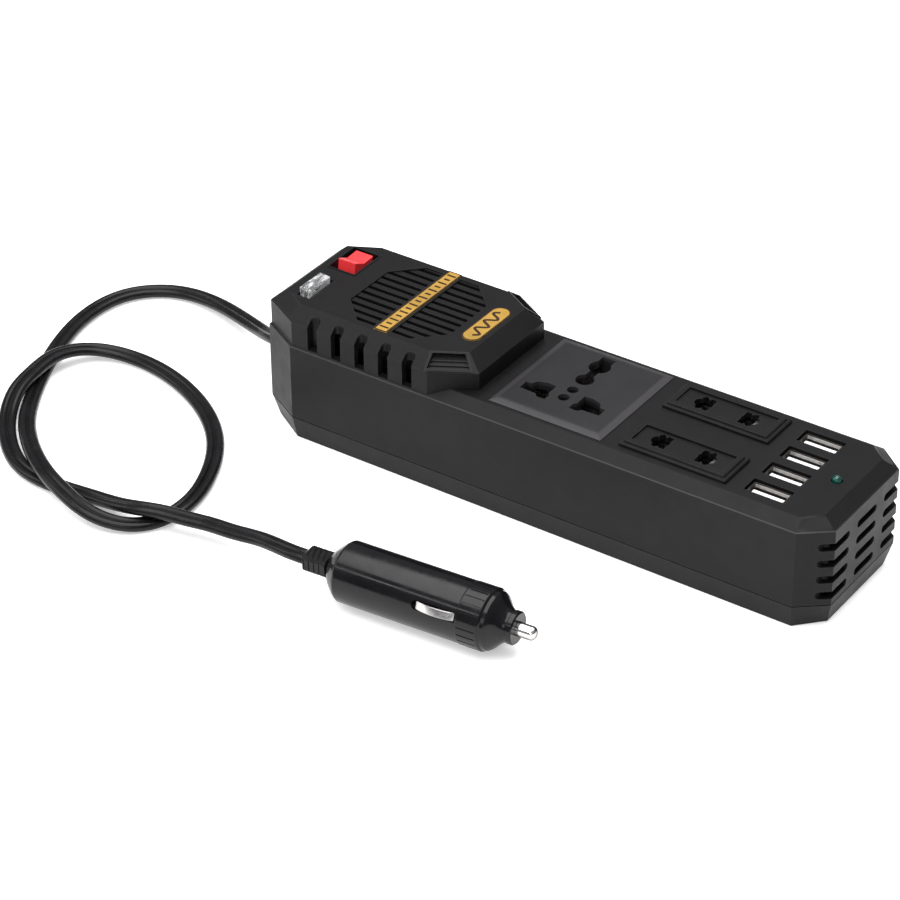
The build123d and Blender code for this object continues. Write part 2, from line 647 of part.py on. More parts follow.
def universal_contacts():
    top = DECK_Z - 3.2
    for centre in line_pins():
        yield contact_clip(centre, 8.6, 9.0, (SOCKET_FLOOR_Z, top))
    clip = block((SOCKET_X, 9.6), (6.9, 16.4), (SOCKET_FLOOR_Z, top))
    clip -= block((SOCKET_X, 9.6), (5.9, 17.0), (SOCKET_FLOOR_Z + 0.8, DECK_Z))
    finger = block((SOCKET_X + 3.2, LONG_EARTH_Y), (0.5, 3.4), (top - 4.0, DECK_Z - 1.9))
    finger += block((SOCKET_X + 2.2, LONG_EARTH_Y), (2.2, 3.4), (DECK_Z - 2.3, DECK_Z - 1.9))
    finger -= post((SOCKET_X + 0.9, LONG_EARTH_Y), 1.6, (DECK_Z - 3.0, DECK_Z))
    yield clip + finger


def back_cover(centre_xy, size_xy, floor_z):
    """Plate that closes the chambers of an outlet from below."""
    return round_block(centre_xy, size_xy, (floor_z - 1.5, floor_z), 1.0)


def universal_back_cover():
    middle_x = (PLATE_X[0] + PLATE_X[1]) / 2
    return back_cover((middle_x, 0), (36.0, 38.6), SOCKET_FLOOR_Z)


# ================================================================ two-pin outlets
OUTLET_FLOOR_Z = 27.0


def pin_opening(side, y, low, high):
    """An opening for a round pin outside, a flat pin inside and slanting pins between them."""
    round_x = OUTLET_X + side * PIN_SPACING / 2
    blade_x = OUTLET_X + side * BLADE_SPACING / 2
    opening = post((round_x, y), 2.3, (low, high))
    opening += block((blade_x, y), (2.1, 7.0), (low, high))
    for slant in (-42, 42):
        arm = Rot(0, 0, slant) * Box(5.6, 1.9, high - low)
        opening += Pos(OUTLET_X + side * 7.9, y + side * slant / 42 * 1.5, (low + high) / 2) * arm
    return opening


def pin_places():
    """Middles of the chambers under the pin openings."""
    return [OUTLET_X + side * (PIN_SPACING + BLADE_SPACING) / 4 for side in (-1, 1)]


def two_pin_outlet(y):
    """Stepped frame with a sunk face and a chamber under each pin opening."""
    top = DECK_Z + OUTLET_RISE
    step = (OUTLET_SIZE[0] - 2.4, OUTLET_SIZE[1] - 2.4)
    outlet = round_block((OUTLET_X, y), OUTLET_SIZE, (DECK_Z, top - 0.8), 0.6)
    outlet = chamfer(outlet.faces().sort_by(Axis.Z)[-1].edges(), 0.35)
    rim = round_block((OUTLET_X, y), step, (DECK_Z, top), 0.5)
    outlet += chamfer(rim.faces().sort_by(Axis.Z)[-1].edges(), 0.35)
    outlet -= block((OUTLET_X, y), (33.0, 9.6), (top - FACE_SINK, top + 1))
    outlet += block((OUTLET_X, y), (35.0, 11.5), (OUTLET_FLOOR_Z, DECK_Z + 0.1))
    for side, x in zip((-1, 1), pin_places()):
        outlet -= pin_opening(side, y, DECK_Z - 3, top + 1)
        outlet -= block((x, y), (9.4, 8.2), (OUTLET_FLOOR_Z - 1, DECK_Z - 0.6))
    return outlet


def outlet_contacts():
    """A spring clip in each chamber; the right-hand ones have a bent tip that shows in the opening."""
    top = DECK_Z - 2.0
    for y in (-OUTLET_Y, OUTLET_Y):
        left, right = pin_places()
        yield contact_clip((left, y), 5.4, 6.0, (OUTLET_FLOOR_Z, top))
        clip = contact_clip((right, y), 5.4, 6.0, (OUTLET_FLOOR_Z, top))
        clip += block((right + 1.9, y + 3.0), (1.5, 0.6), (top - 1.0, DECK_Z - 0.7))
        yield clip + block((right + 1.9, y + 1.5), (1.5, 3.4), (DECK_Z - 1.1, DECK_Z - 0.7))


def outlet_back_covers():
    for y in (-OUTLET_Y, OUTLET_Y):
        yield back_cover((OUTLET_X, y), (35.0, 11.5), OUTLET_FLOOR_Z)


# ================================================================ USB ports and indicator
def usb_centres():
    return [(index - 1.5) * USB_PITCH for index in range(4)]


def usb_shell(y):
    low, high = USB_BOARD_Z + BOARD_THICKNESS, DECK_Z - USB_SHELL_SINK
    x_size, y_size = USB_SHELL
    shell = round_block((USB_X, y), USB_SHELL, (low, high), 0.7)
    return shell - round_block((USB_X, y), (x_size - 0.7, y_size - 0.7), (low - 1, high + 1), 0.5)


def usb_tongue(y):
    """Insulating base with the contact tongue standing up from it."""
    low = USB_BOARD_Z + BOARD_THICKNESS
    base = round_block((USB_X, y), (USB_SHELL[0] - 0.9, USB_SHELL[1] - 0.9), (low, low + 4.0), 0.6)
    return base + block((USB_X, y - 0.8), (11.1, 2.2), (low, DECK_Z - USB_TONGUE_SINK))


def usb_contacts():
    """Four gold leaves on the far face of each tongue."""
    low = USB_BOARD_Z + BOARD_THICKNESS
    for y in usb_centres():
        for index in range(4):
            x = USB_X + (index - 1.5) * 2.3
            yield block((x, y + 0.425), (1.0, 0.25), (low + 4.0, DECK_Z - USB_TONGUE_SINK - 1.0))


def status_led():
    """Domed green lens with a flange that seats on its small board."""
    lens = post((LED_X, 0), LED_R, (31.0, DECK_Z + 0.2))
    lens += Pos(LED_X, 0, DECK_Z + 0.2) * Sphere(LED_R)
    return lens + post((LED_X, 0), 1.9, (31.0, 32.0))


def led_leads():
    low = USB_BOARD_Z + BOARD_THICKNESS
    for y in (-1.0, 1.0):
        yield block((LED_X, y), (0.5, 0.5), (low, 31.0))


def usb_board():
    board = box((68.0, 94.0), (-21.5, 21.5), (USB_BOARD_Z, USB_BOARD_Z + BOARD_THICKNESS))
    board += box((93.0, 98.6), (-9.0, 9.0), (USB_BOARD_Z, USB_BOARD_Z + BOARD_THICKNESS))
    for y in USB_POSTS_Y:
        board -= post((USB_POST_X, y), 1.3, (USB_BOARD_Z - 1, USB_BOARD_Z + 3))
    return board


# ================================================================ main board and its parts
def main_board():
    board = box(BOARD_X, (-BOARD_HALF_WIDTH, BOARD_HALF_WIDTH), (BOARD_Z, BOARD_TOP_Z))
    for xy in BOARD_SCREWS_XY:
        board -= post(xy, 1.4, (BOARD_Z - 1, BOARD_TOP_Z + 1))
    return board


TRANSFORMER_X = -60.0


def transformer_core():
    """Ferrite frame with two windows, standing across the board."""
    core = box((TRANSFORMER_X - 17, TRANSFORMER_X + 17), (-6.5, 6.5), (BOARD_TOP_Z + 1.0, 34.0))
    for side in (-1, 1):
        near = TRANSFORMER_X + side * 5.0
        far = TRANSFORMER_X + side * 13.0
        core -= box((min(near, far), max(near, far)), (-7, 7), (BOARD_TOP_Z + 5.0, 30.0))
    return core


def transformer_winding():
    """Taped coil on its bobbin round the middle leg."""
    z = (BOARD_TOP_Z + 5.2, 29.8)
    coil = round_block((TRANSFORMER_X, 0), (25.4, 27.0), z, 5.0)
    return coil - block((TRANSFORMER_X, 0), (10.4, 13.4), (z[0] - 1, z[1] + 1))


def transformer_pins():
    for index in range(5):
        for side in (-1, 1):
            y = side * 12.0
            x = TRANSFORMER_X + (index - 2) * 4.4
            yield block((x, y), (0.8, 0.8), (BOARD_TOP_Z, BOARD_TOP_Z + 5.2))


HEAT_SINK_X = -31.0
PIN_PITCH = 2.54                # spacing of the leads of transistors and chip


def heat_sink():
    """Finned aluminium extrusion that stands across the board."""
    sink = box((HEAT_SINK_X - 2, HEAT_SINK_X), (-20, 20), (BOARD_TOP_Z, 35.0))
    for index in range(9):
        y = (index - 4) * 4.6
        sink += box((HEAT_SINK_X - 7.5, HEAT_SINK_X - 1.5), (y - 0.6, y + 0.6), (BOARD_TOP_Z, 35.0))
    return sink


def power_transistors():
    for index in range(4):
        y = (index - 1.5) * 10.6
        body = box((HEAT_SINK_X, HEAT_SINK_X + 1.3), (y - 5, y + 5), (16.0, 31.0))
        body += box((HEAT_SINK_X + 1.0, HEAT_SINK_X + 4.4), (y - 5, y + 5), (16.0, 25.0))
        body -= Pos(HEAT_SINK_X, y, 28.2) * Rot(0, 90, 0) * Cylinder(1.8, 6)
        for lead_y in (y - PIN_PITCH, y, y + PIN_PITCH):
            body += block((HEAT_SINK_X + 2.3, lead_y), (0.6, 0.8), (BOARD_TOP_Z, 17.0))
        yield body


def capacitor(x, y, radius, length):
    """A can that lies on the board along X."""
    return Pos(x, y, BOARD_TOP_Z + radius) * Rot(0, 90, 0) * Cylinder(radius, length)


def capacitors():
    """Two input cans and the high-voltage can."""
    for y in (3.5, 15.0):
        yield capacitor(-4.0, y, 5.0, 20.0)
    yield capacitor(20.0, 8.0, 5.6, 25.0)


CHOKE_XY = (46.0, 0.0)


def choke_core():
    core = post(CHOKE_XY, 10.0, (BOARD_TOP_Z + 1.4, BOARD_TOP_Z + 8.4))
    return core - post(CHOKE_XY, 5.4, (BOARD_TOP_Z, BOARD_TOP_Z + 10))


def choke_winding():
    """Sixteen turns of enamelled wire round the core, each a closed loop of square wire."""
    low, high = BOARD_TOP_Z + 1.4, BOARD_TOP_Z + 8.4
    for index in range(16):
        loop = box((4.3, 11.0), (-0.5, 0.5), (low - 1.0, high + 1.0))
        loop -= box((5.3, 10.02), (-1, 1), (low, high))
        yield Pos(CHOKE_XY[0], CHOKE_XY[1], 0) * Rot(0, 0, (index + 0.5) * 360 / 17) * loop


CHIP_XY = (22.0, -10.0)


def control_chip():
    chip = block(CHIP_XY, (20.0, 6.4), (BOARD_TOP_Z + 0.6, BOARD_TOP_Z + 4.0))
    return chip - post((CHIP_XY[0] - 8.5, CHIP_XY[1]), 1.0, (BOARD_TOP_Z + 3.4, BOARD_TOP_Z + 5))


def chip_pins():
    for index in range(8):
        for side in (-1, 1):
            x = CHIP_XY[0] + (index - 3.5) * PIN_PITCH
            y = CHIP_XY[1] + side * 3.45
            yield block((x, y), (0.6, 0.5), (BOARD_TOP_Z, BOARD_TOP_Z + 2.6))


# ================================================================ screws
def case_screws():
    for x, y in CASE_SCREWS_XY:
        screw = post((x, y), 2.8, (SCREW_HEAD_Z - 2.2, SCREW_HEAD_Z))
        screw -= cross_recess((x, y), SCREW_HEAD_Z - 2.2, 1.2)
        yield screw + post((x, y), 1.25, (SCREW_HEAD_Z, 35.0))


def board_screws():
    for x, y in BOARD_SCREWS_XY:
        head = post((x, y), 2.5, (BOARD_TOP_Z, BOARD_TOP_Z + 1.7))
        yield head + post((x, y), 1.1, (BOARD_TOP_Z - 6.0, BOARD_TOP_Z))
    for y in USB_POSTS_Y:
        head = post((USB_POST_X, y), 2.5, (USB_BOARD_Z - 1.7, USB_BOARD_Z))
        yield head + post((USB_POST_X, y), 1.1, (USB_BOARD_Z, USB_BOARD_Z + 8.0))


# ================================================================ cable
def cord_outline(clearance=0.0):
    """Figure-eight outline of the twin cord, flat side down."""
    radius = CORD_R + clearance
    outline = Pos(-CORD_CENTRES, 0) * Circle(radius) + Pos(CORD_CENTRES, 0) * Circle(radius)
    return outline + Rectangle(2 * CORD_CENTRES, 1.7)


def plug_point(along):
    """A point on the plug's axis."""
    return (PLUG_LOCATION * Pos(along, 0, 0)).position


CORD_REST_Z = CORD_R + 0.3   # height of the cord's middle where it lies on the ground
CORD_OVER_Z = 5.7            # height of its middle where it crosses over itself
CABLE_ROUTE = [
    (-99.0, 0.0, CABLE_EXIT_Z),
    (-106.0, 0.0, CABLE_EXIT_Z),
    (-113.0, 0.0, CABLE_EXIT_Z),
    (-122.0, 2.2, 13.2),
    (-134.0, 8.8, 9.0),
    (-150.0, 16.5, 5.6),
    (-168.0, 22.5, 3.0),
    (-184.0, 21.8, CORD_REST_Z),
    (-196.5, 11.0, CORD_REST_Z),
    (-200.0, -5.0, CORD_REST_Z),
    (-195.5, -28.5, CORD_REST_Z),
    (-186.5, -50.0, CORD_REST_Z),
    (-175.5, -69.0, CORD_REST_Z),
    (-160.0, -85.5, 4.2),
    (-145.5, -96.0, CORD_OVER_Z),
    (-130.0, -103.0, CORD_OVER_Z),
    (-115.0, -105.3, 3.8),
    (-103.0, -99.5, CORD_REST_Z),
    (-97.0, -85.0, CORD_REST_Z),
    (-101.0, -65.5, CORD_REST_Z),
    (-112.5, -46.4, CORD_REST_Z),
    (-130.0, -32.0, CORD_REST_Z),
    (-150.0, -23.5, CORD_REST_Z),
    (-168.0, -21.6, 2.1),
    (-181.0, -26.5, 3.5),
    (-187.5, -40.0, CORD_OVER_Z),
    (-187.0, -52.0, CORD_OVER_Z),
    (-184.8, -63.5, 5.0),
    (-180.5, -73.0, 3.0),
    (-170.0, -85.5, CORD_REST_Z),
    (-154.0, -95.5, CORD_REST_Z),
    (-137.5, -96.9, CORD_REST_Z),
    (-125.8, -95.5, CORD_REST_Z),
    (-115.6, -96.4, 3.8),
    (-105.3, -96.4, 5.8),
    (-97.1, -93.9, 5.9),
    (-88.6, -92.3, 5.8),
    (-79.9, -90.8, 6.0),
    (-70.4, -90.5, 6.6),
    (-61.0, -90.0, 7.5),
]


def power_cable():
    """Twin cord from inside the case, round one and a half loops on the ground, into the plug's boot."""
    points = [Vector(*point) for point in CABLE_ROUTE]
    points += [plug_point(-16.0), plug_point(-9.0)]
    path = Spline(*points)
    keep_flat = Spline(*[point + Vector(0, 0, 20) for point in points])
    start = Plane(origin=path @ 0, x_dir=(0, 1, 0), z_dir=path % 0)
    return sweep(start * cord_outline(), path=path, binormal=keep_flat)


def cable_grommet():
    """Bush in the end wall with a flange on each side of it."""
    along = Pos(-HALF_LENGTH, 0, CABLE_EXIT_Z) * Rot(0, 90, 0)
    bush = along * Cylinder(4.95, 2 * WALL + 5.0)
    bush += Pos(-HALF_LENGTH - 0.9, 0, CABLE_EXIT_Z) * Rot(0, 90, 0) * Cylinder(6.6, 1.8)
    bush += Pos(-HALF_LENGTH + WALL + 1.0, 0, CABLE_EXIT_Z) * Rot(0, 90, 0) * Cylinder(6.2, 1.9)
    slot = Box(20, 2 * (CORD_R + CORD_CENTRES) + 0.4, 2 * CORD_R + 0.4)
    return bush - Pos(-HALF_LENGTH, 0, CABLE_EXIT_Z) * slot


def supply_leads():
    """The cord's two cores, from its cut end down to the board."""
    for side in (-1, 1):
        y = side * CORD_CENTRES
        path = [
            (-98.8, y, CABLE_EXIT_Z),
            (-95.0, y, CABLE_EXIT_Z),
            (-86.0, 2.5 * y, 13.6),
            (-79.0, 3 * y, BOARD_TOP_Z + 1.2),
        ]
        yield wire_lead(path, 1.0)


# ================================================================ 12 V plug
CONTACT_WINDOW = (32.6, 3.2)    # where the barrel's side windows start, and their height
CONTACT_WIDTH = 2.6
SPIGOT_START = 42.0
SPIGOT_R = 8.2


def plug_barrel():
    """Hollow barrel with a conical shoulder and a round-ended window on each side for the contacts."""
    profile = [
        (0, 3.8),
        (0, 6.4),
        (1.6, 8.0),
        (3.6, 9.7),
        (4.6, PLUG_R),
        (BARREL_END, PLUG_R),
        (BARREL_END, 8.3),
        (4.6, 8.3),
        (3.0, 3.8),
    ]
    barrel = turned(profile)
    start, height = CONTACT_WINDOW
    for side in (-1, 1):
        across = (side * 9 - 3, side * 9 + 3)
        window = box((start + height / 2, BARREL_END + 1), across, (-height / 2, height / 2))
        window += Pos(start + height / 2, side * 9, 0) * Rot(90, 0, 0) * Cylinder(height / 2, 6.0)
        barrel -= window
    return PLUG_LOCATION * barrel


def plug_cap():
    """Screw-on nose: a ribbed ring, a bell and a collar round the tip."""
    profile = [
        (SPIGOT_START, 6.9),
        (SPIGOT_START, SPIGOT_R),
        (BARREL_END + 0.05, SPIGOT_R),
        (BARREL_END + 0.05, PLUG_R),
        (BARREL_END + 0.4, PLUG_R + 0.15),
        (RING_END - 0.4, PLUG_R + 0.15),
        (RING_END, PLUG_R - 0.1),
        (RING_END + 0.3, PLUG_R - 0.5),
        (57.4, 9.5),
        (58.5, 8.6),
        (59.6, 7.3),
        (60.8, 6.1),
        (62.0, 5.35),
        (62.8, 5.15),
        (63.1, 5.5),
        (CAP_END - 0.4, 5.5),
        (CAP_END, 5.0),
        (CAP_END, TIP_R + 0.05),
        (61.6, TIP_R + 0.05),
        (61.6, 4.3),
        (56.0, 4.3),
        (53.0, 6.9),
    ]
    cap = turned(profile)
    for index in range(24):
        groove = Pos((BARREL_END + RING_END) / 2, 0, PLUG_R + 0.15) * Box(6.4, 0.5, 0.6)
        cap -= Rot(index * 15, 0, 0) * groove
    for side in (-1, 1):
        across = (side * 9 - 3, side * 9 + 3)
        cap -= box((SPIGOT_START - 1, BARREL_END), across, (-2.2, 2.2))
    return PLUG_LOCATION * cap


def plug_tip():
    """Spring-loaded centre pin with the flange that keeps it in the cap."""
    profile = [
        (59.6, 0),
        (59.6, 4.1),
        (61.5, 4.1),
        (61.5, TIP_R),
        (TIP_END - 1.6, TIP_R),
        (TIP_END - 0.8, 2.0),
        (TIP_END - 0.2, 1.2),
        (TIP_END, 0),
    ]
    return PLUG_LOCATION * turned(profile)


def tip_spring():
    """Compression spring behind the pin, drawn at its fully pressed length."""
    helix = Helix(pitch=1.3, height=5.2, radius=3.2)
    section = Plane(origin=helix @ 0, z_dir=helix % 0) * Circle(0.4)
    coil = sweep(section, path=helix, is_frenet=True)
    return PLUG_LOCATION * Pos(50.4, 0, 0) * Rot(0, 90, 0) * coil


def tube_fuse_glass():
    glass = turned([(24.0, 2.2), (24.0, 2.9), (42.0, 2.9), (42.0, 2.2)])
    return PLUG_LOCATION * glass


def tube_fuse_caps():
    for low in (18.6, 42.0):
        yield PLUG_LOCATION * turned([(low, 0), (low, 3.2), (low + 5.4, 3.2), (low + 5.4, 0)])


def plug_inner_contact():
    """Brass cup that takes the tube fuse's rear cap and the positive core."""
    cup = turned([(13.0, 0), (13.0, 4.0), (22.0, 4.0), (22.0, 3.25), (18.5, 3.25), (18.5, 0)])
    return PLUG_LOCATION * cup


def side_contact(side):
    """Sprung leaf that bows out through a slot of the barrel to touch the socket's wall."""
    outer = ThreePointArc(Vector(33.6, 9.5, 0), Vector(40.7, 11.3, 0), Vector(47.4, 9.5, 0))
    inner = ThreePointArc(Vector(33.9, 9.1, 0), Vector(40.7, 10.8, 0), Vector(47.1, 9.1, 0))
    ends = [Line(outer @ 0, inner @ 0), Line(outer @ 1, inner @ 1)]
    leaf = extrude(make_face([outer, inner, *ends]), amount=CONTACT_WIDTH / 2, both=True)
    return PLUG_LOCATION * (mirror(leaf, about=Plane.XZ) if side < 0 else leaf)


def plug_boot():
    """Flexible strain relief: a flattened body with slanting grooves and a neck held in the barrel."""
    boot = Pos(-6.6, 0, 0) * Box(9.0, 8.2, 6.6)
    boot = chamfer(boot.edges().filter_by(Axis.X), 1.4)
    boot = chamfer(boot.faces().sort_by(Axis.X)[0].edges(), 1.0)
    boot += turned([(-2.4, 0), (-2.4, 3.0), (-1.0, 3.7), (2.8, 3.7), (2.8, 0)])
    boot += turned([(2.5, 0), (2.5, 3.3), (4.4, 3.3), (4.4, 4.6), (6.0, 4.6), (6.0, 0)])
    for index in range(4):
        for side in (-1, 1):
            groove = Pos(-9.6 + index * 1.9, 0, side * 3.3) * Rot(0, 0, 18) * Box(0.7, 12, 0.9)
            boot -= groove
            boot -= Pos(-9.6 + index * 1.9, side * 4.3, 0) * Box(0.7, 0.9, 12)
    slot = Pos(-9.5, 0, 0) * Box(12.0, 2 * (CORD_R + CORD_CENTRES) + 0.7, 2 * CORD_R + 0.9)
    return PLUG_LOCATION * Rot(-PLUG_ROLL, 0, 0) * (boot - slot)


def nodes():
    """Every node of the object by name."""
    named = {
        "lower_shell": lower_shell(),
        "upper_shell": upper_shell(),
        "accent_strip": accent_strip(),
        "rating_badge": rating_badge(),
        "fan_frame": fan_frame(),
        "fan_motor": fan_motor(),
        "fan_rotor": fan_rotor(),
        "fan_screws": group(fan_screws()),
        "switch_housing": switch_housing(),
        "switch_rocker": switch_rocker(),
        "switch_terminals": group(switch_terminals()),
        "fuse_holder": fuse_holder(),
        "fuse_clips": group(fuse_clips()),
        "fuse_body": fuse_body(),
        "fuse_element": fuse_element(),
        "universal_socket": universal_socket(),
        "universal_contacts": group(universal_contacts()),
        "universal_back_cover": universal_back_cover(),
        "two_pin_outlet_near": two_pin_outlet(-OUTLET_Y),
        "two_pin_outlet_far": two_pin_outlet(OUTLET_Y),
        "outlet_contacts": group(outlet_contacts()),
        "outlet_back_covers": group(outlet_back_covers()),
        "usb_contacts": group(usb_contacts()),
        "usb_board": usb_board(),
        "status_led": status_led(),
        "led_leads": group(led_leads()),
        "main_board": main_board(),
        "transformer_core": transformer_core(),
        "transformer_winding": transformer_winding(),
        "transformer_pins": group(transformer_pins()),
        "heat_sink": heat_sink(),
        "power_transistors": group(power_transistors()),
        "capacitors": group(capacitors()),
        "choke_core": choke_core(),
        "choke_winding": group(choke_winding()),
        "control_chip": control_chip(),
        "chip_pins": group(chip_pins()),
        "case_screws": group(case_screws()),
        "board_screws": group(board_screws()),
        "power_cable": power_cable(),
        "cable_grommet": cable_grommet(),
        "supply_leads": group(supply_leads()),
        "plug_boot": plug_boot(),
        "plug_barrel": plug_barrel(),
        "plug_cap": plug_cap(),
        "plug_tip": plug_tip(),
        "tip_spring": tip_spring(),
        "tube_fuse_glass": tube_fuse_glass(),
        "tube_fuse_caps": group(tube_fuse_caps()),
        "plug_inner_contact": plug_inner_contact(),
        "side_contact_near": side_contact(-1),
        "side_contact_far": side_contact(1),
    }
    for number, y in enumerate(usb_centres(), start=1):
        named[f"usb_shell_{number}"] = usb_shell(y)
        named[f"usb_tongue_{number}"] = usb_tongue(y)
    return named


os.makedirs("parts", exist_ok=True)
for name, shape in nodes().items():
    export_step(shape, f"parts/{name}.step")
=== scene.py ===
import json
import math

import bmesh
import bpy
from mathutils import Matrix, Vector


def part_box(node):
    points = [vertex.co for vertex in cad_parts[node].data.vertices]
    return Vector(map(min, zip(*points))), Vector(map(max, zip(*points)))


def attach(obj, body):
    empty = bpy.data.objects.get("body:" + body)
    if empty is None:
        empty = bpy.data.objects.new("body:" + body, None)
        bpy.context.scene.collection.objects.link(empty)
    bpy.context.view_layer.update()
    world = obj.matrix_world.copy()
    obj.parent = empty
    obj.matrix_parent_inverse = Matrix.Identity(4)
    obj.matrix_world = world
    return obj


# Looks for a vehicle power inverter: materials, softened edges, printed marks, studio and camera.
# Metres throughout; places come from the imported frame.

MM = 0.001

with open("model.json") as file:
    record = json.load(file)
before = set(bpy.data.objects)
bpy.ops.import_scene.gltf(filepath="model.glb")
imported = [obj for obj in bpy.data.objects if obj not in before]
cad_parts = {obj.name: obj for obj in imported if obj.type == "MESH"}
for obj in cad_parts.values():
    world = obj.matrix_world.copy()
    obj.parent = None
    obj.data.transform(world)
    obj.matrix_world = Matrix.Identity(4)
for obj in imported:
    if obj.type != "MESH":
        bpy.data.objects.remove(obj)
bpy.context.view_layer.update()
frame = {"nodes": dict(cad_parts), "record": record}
NODES = frame["nodes"]


# ================================================================ node helpers
class Look:
    """One procedural material under construction, with short names for the nodes it needs."""

    def __init__(self, name, base, roughness=0.5, metallic=0.0):
        self.material = bpy.data.materials.new(name)
        self.material.use_nodes = True
        self.tree = self.material.node_tree
        self.shader = self.tree.nodes["Principled BSDF"]
        self.where = self.tree.nodes.new("ShaderNodeTexCoord").outputs["Object"]
        self.set("Base Color", (*base, 1.0))
        self.set("Roughness", roughness)
        self.set("Metallic", metallic)

    def set(self, socket, value):
        self.shader.inputs[socket].default_value = value

    def link(self, output, target):
        self.tree.links.new(output, target)

    def drive(self, output, socket):
        self.link(output, self.shader.inputs[socket])

    def stretched(self, scale):
        """Coordinates scaled by a different amount along each axis."""
        mapping = self.tree.nodes.new("ShaderNodeMapping")
        mapping.inputs["Scale"].default_value = scale
        self.link(self.where, mapping.inputs["Vector"])
        return mapping.outputs["Vector"]

    def noise(self, size, detail=3.0, rough=0.55, vector=None):
        """Noise whose blobs measure about `size` metres."""
        node = self.tree.nodes.new("ShaderNodeTexNoise")
        node.inputs["Scale"].default_value = 1.0 / size
        node.inputs["Detail"].default_value = detail
        node.inputs["Roughness"].default_value = rough
        self.link(vector or self.where, node.inputs["Vector"])
        return node.outputs["Fac"]

    def cells(self, size, vector=None):
        node = self.tree.nodes.new("ShaderNodeTexVoronoi")
        node.inputs["Scale"].default_value = 1.0 / size
        self.link(vector or self.where, node.inputs["Vector"])
        return node.outputs["Distance"]

    def spread(self, source, low, high, out_low, out_high):
        """Maps a value's range onto another, clamped."""
        node = self.tree.nodes.new("ShaderNodeMapRange")
        limits = {"From Min": low, "From Max": high, "To Min": out_low, "To Max": out_high}
        for socket, value in limits.items():
            node.inputs[socket].default_value = value
        self.link(source, node.inputs["Value"])
        return node.outputs["Result"]

    def math(self, kind, a, b):
        node = self.tree.nodes.new("ShaderNodeMath")
        node.operation = kind
        for index, value in enumerate((a, b)):
            if isinstance(value, (int, float)):
                node.inputs[index].default_value = value
            else:
                self.link(value, node.inputs[index])
        return node.outputs["Value"]

    def mix(self, factor, a, b):
        """A colour between a and b; each is a colour or an output."""
        node = self.tree.nodes.new("ShaderNodeMix")
        node.data_type = "RGBA"
        self.link(factor, node.inputs["Factor"])
        for socket, value in ((node.inputs[6], a), (node.inputs[7], b)):
            if isinstance(value, tuple):
                socket.default_value = (*value, 1.0)
            else:
                self.link(value, socket)
        return node.outputs[2]

    def bump(self, height, depth, strength=1.0, normal=None):
        """Relief of `depth` metres; chains onto an earlier relief."""
        node = self.tree.nodes.new("ShaderNodeBump")
        node.inputs["Strength"].default_value = strength
        node.inputs["Distance"].default_value = depth
        self.link(height, node.inputs["Height"])
        if normal is not None:
            self.link(normal, node.inputs["Normal"])
        return node.outputs["Normal"]

    def height(self):
        """Height above the case's bottom face."""
        split = self.tree.nodes.new("ShaderNodeSeparateXYZ")
        self.link(self.where, split.inputs["Vector"])
        return split.outputs["Z"]

    def band(self, low, high, soft):
        """1 between two heights, fading out over `soft` metres on both sides."""
        height = self.height()
        rise = self.spread(height, low - soft, low, 0.0, 1.0)
        return self.math("MULTIPLY", rise, self.spread(height, high, high + soft, 1.0, 0.0))

    def sideways(self):
        """How squarely the surface looks along Y, from 0 to 1."""
        geometry = self.tree.nodes.new("ShaderNodeNewGeometry")
        split = self.tree.nodes.new("ShaderNodeSeparateXYZ")
        self.link(geometry.outputs["True Normal"], split.inputs["Vector"])
        return self.math("ABSOLUTE", split.outputs["Y"], 0.0)

    def facing(self):
        """0 where the surface faces the viewer, 1 where it turns away."""
        weight = self.tree.nodes.new("ShaderNodeLayerWeight")
        weight.inputs["Blend"].default_value = 0.45
        return weight.outputs["Facing"]

    def edges(self, radius):
        """1 on sharp edges, 0 on flats."""
        bevel = self.tree.nodes.new("ShaderNodeBevel")
        bevel.inputs["Radius"].default_value = radius
        bevel.samples = 4
        geometry = self.tree.nodes.new("ShaderNodeNewGeometry")
        dot = self.tree.nodes.new("ShaderNodeVectorMath")
        dot.operation = "DOT_PRODUCT"
        self.link(bevel.outputs["Normal"], dot.inputs[0])
        self.link(geometry.outputs["Normal"], dot.inputs[1])
        return self.spread(dot.outputs["Value"], 0.98, 0.72, 0.0, 1.0)


def lighter(colour, factor, lift=0.0):
    return tuple(min(1.0, channel * factor + lift) for channel in colour)


# ================================================================ materials
def moulded_plastic(name, base, roughness, grain, depth, pale_edge_strength=0.35, shine=0.3):
    """Textured thermoplastic: spark-eroded grain, faint handling marks and paler edges, partly worn and
    partly a painted highlight.

    look.colour holds the finished base colour, for a maker that layers more on it.
    """
    look = Look(name, base, roughness)
    look.set("Specular IOR Level", shine)
    fine = look.noise(grain, 2.0, 0.6)
    pits = look.cells(grain * 1.7)
    broad = look.noise(0.035, 4.0, 0.6)
    smudge = look.noise(0.009, 5.0, 0.65)
    # Paler edges: partly worn, partly a painted highlight along every sharp edge.
    pale_edges = look.math("MULTIPLY", look.edges(0.45 * MM), look.spread(smudge, 0.35, 0.7, 0.2, 1.0))
    pale_edges = look.math("MULTIPLY", pale_edges, pale_edge_strength)
    tinted = look.mix(look.spread(broad, 0.3, 0.7, 0.0, 1.0), lighter(base, 0.88), lighter(base, 1.14))
    look.colour = look.mix(pale_edges, tinted, lighter(base, 2.4, 0.05))
    look.drive(look.colour, "Base Color")
    rough = look.spread(smudge, 0.3, 0.75, roughness - 0.06, roughness + 0.07)
    look.drive(look.math("SUBTRACT", rough, look.math("MULTIPLY", pale_edges, 0.2)), "Roughness")
    relief = look.math("ADD", fine, look.math("MULTIPLY", pits, 0.5))
    look.drive(look.bump(relief, depth), "Normal")
    look.set("IOR", 1.5)
    return look


